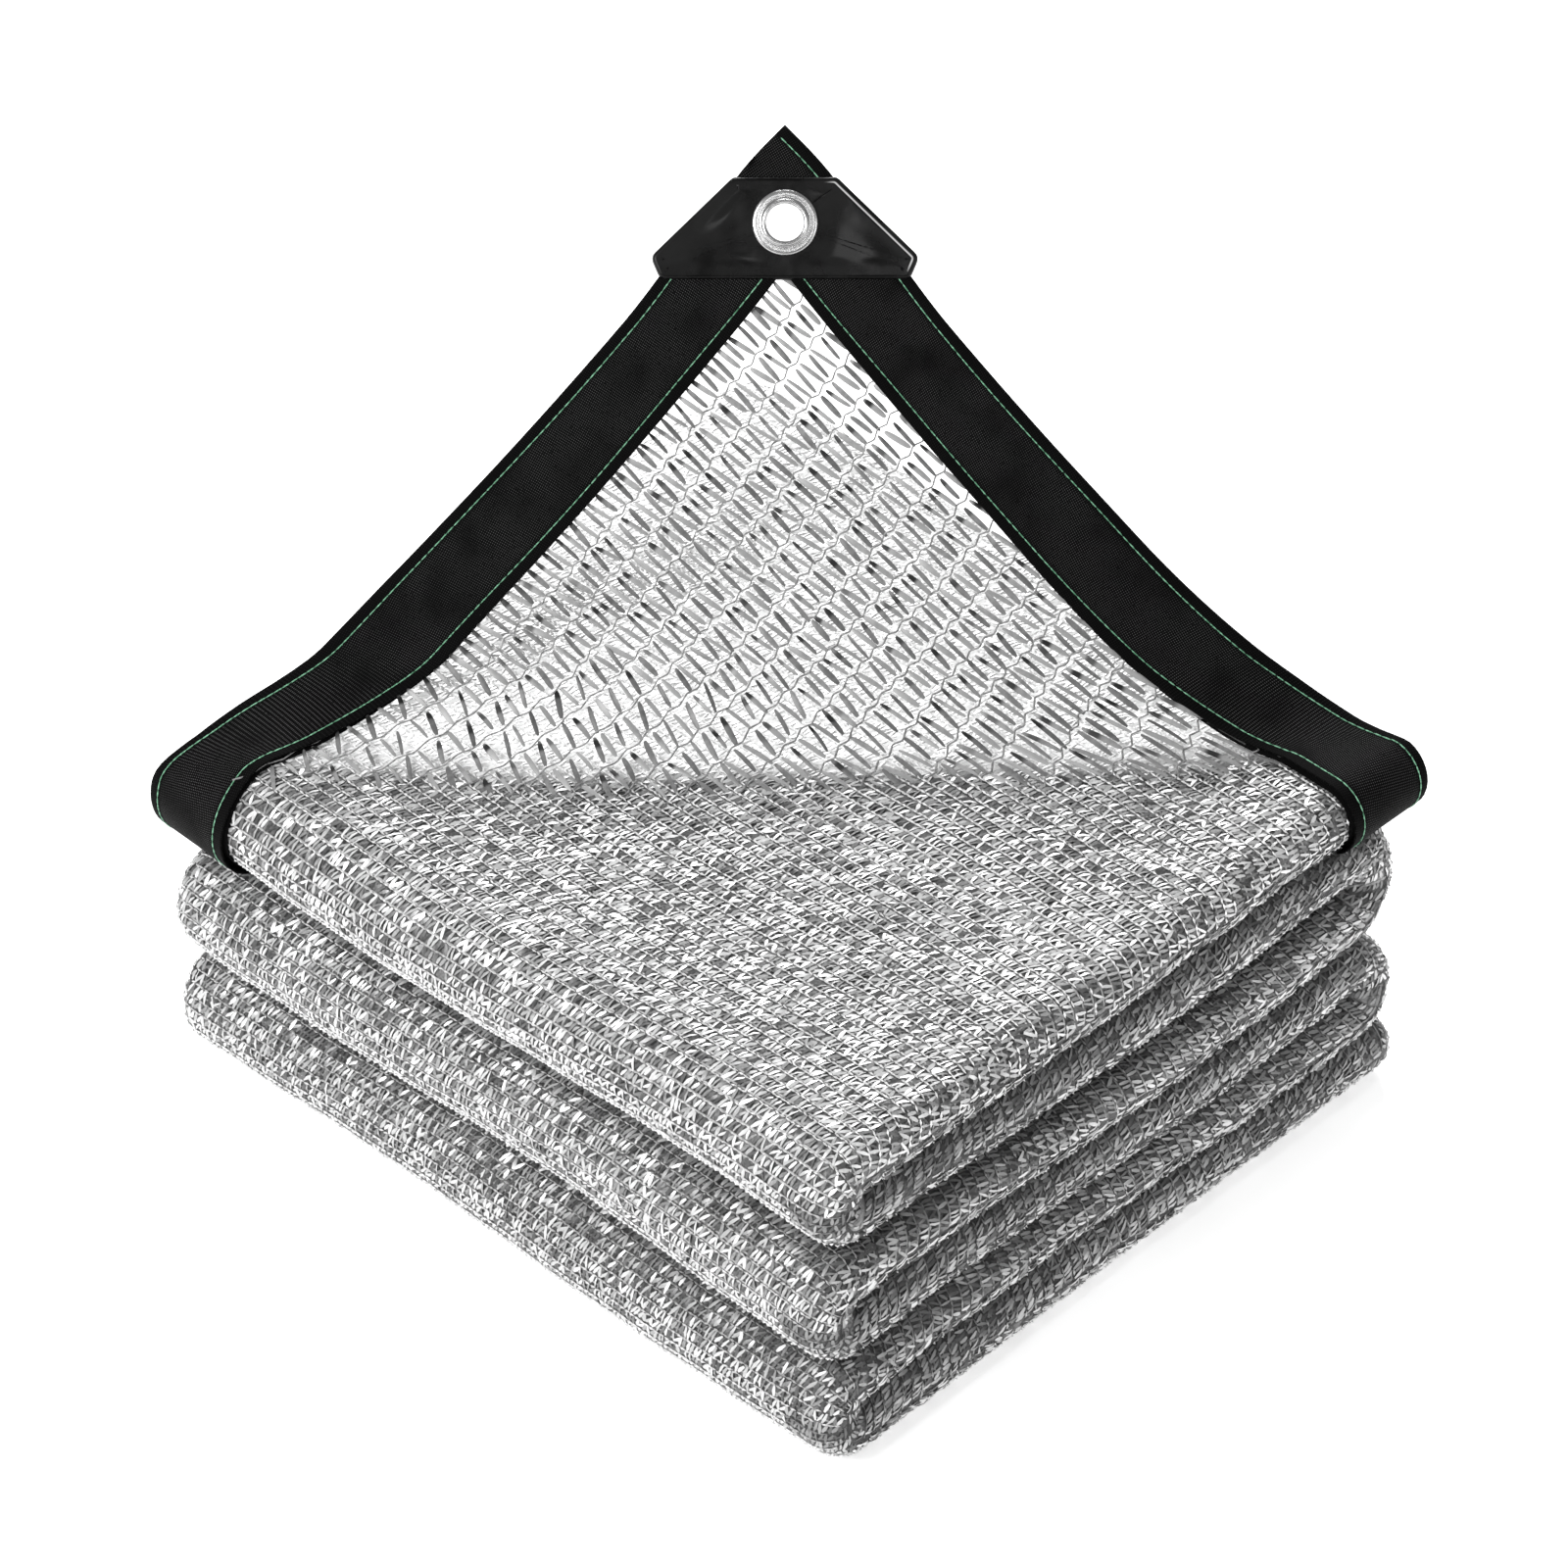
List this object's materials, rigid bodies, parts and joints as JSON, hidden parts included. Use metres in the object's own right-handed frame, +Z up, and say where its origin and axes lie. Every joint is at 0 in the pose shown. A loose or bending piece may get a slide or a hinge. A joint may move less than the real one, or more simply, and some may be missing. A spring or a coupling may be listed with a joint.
{
  "type": "folded shade cloth",
  "caption": "Silver knitted shade net with black edge tape, folded into a square stack, one corner with its patch and eyelet lifted.",
  "frame": {"origin": "middle of the stack's underside, where it rests", "axes": "+Z up, the folded rolls run along Y at -X, and the lifted corner leans towards +X and +Y"},
  "size_m": [0.3082, 0.3403, 0.3157],
  "materials": {
    "net": "silver knitted flat tape net, softly metallic",
    "tape": "black woven edge tape with pale green stitching",
    "patch": "glossy black coated sheet",
    "eyelet": "bright pressed metal"
  },
  "bodies": {
    "root": {"cloth": "net", "hem_left": "tape", "hem_right": "tape", "corner_patch": "patch", "eyelet": "eyelet"}
  },
  "joints": []
}
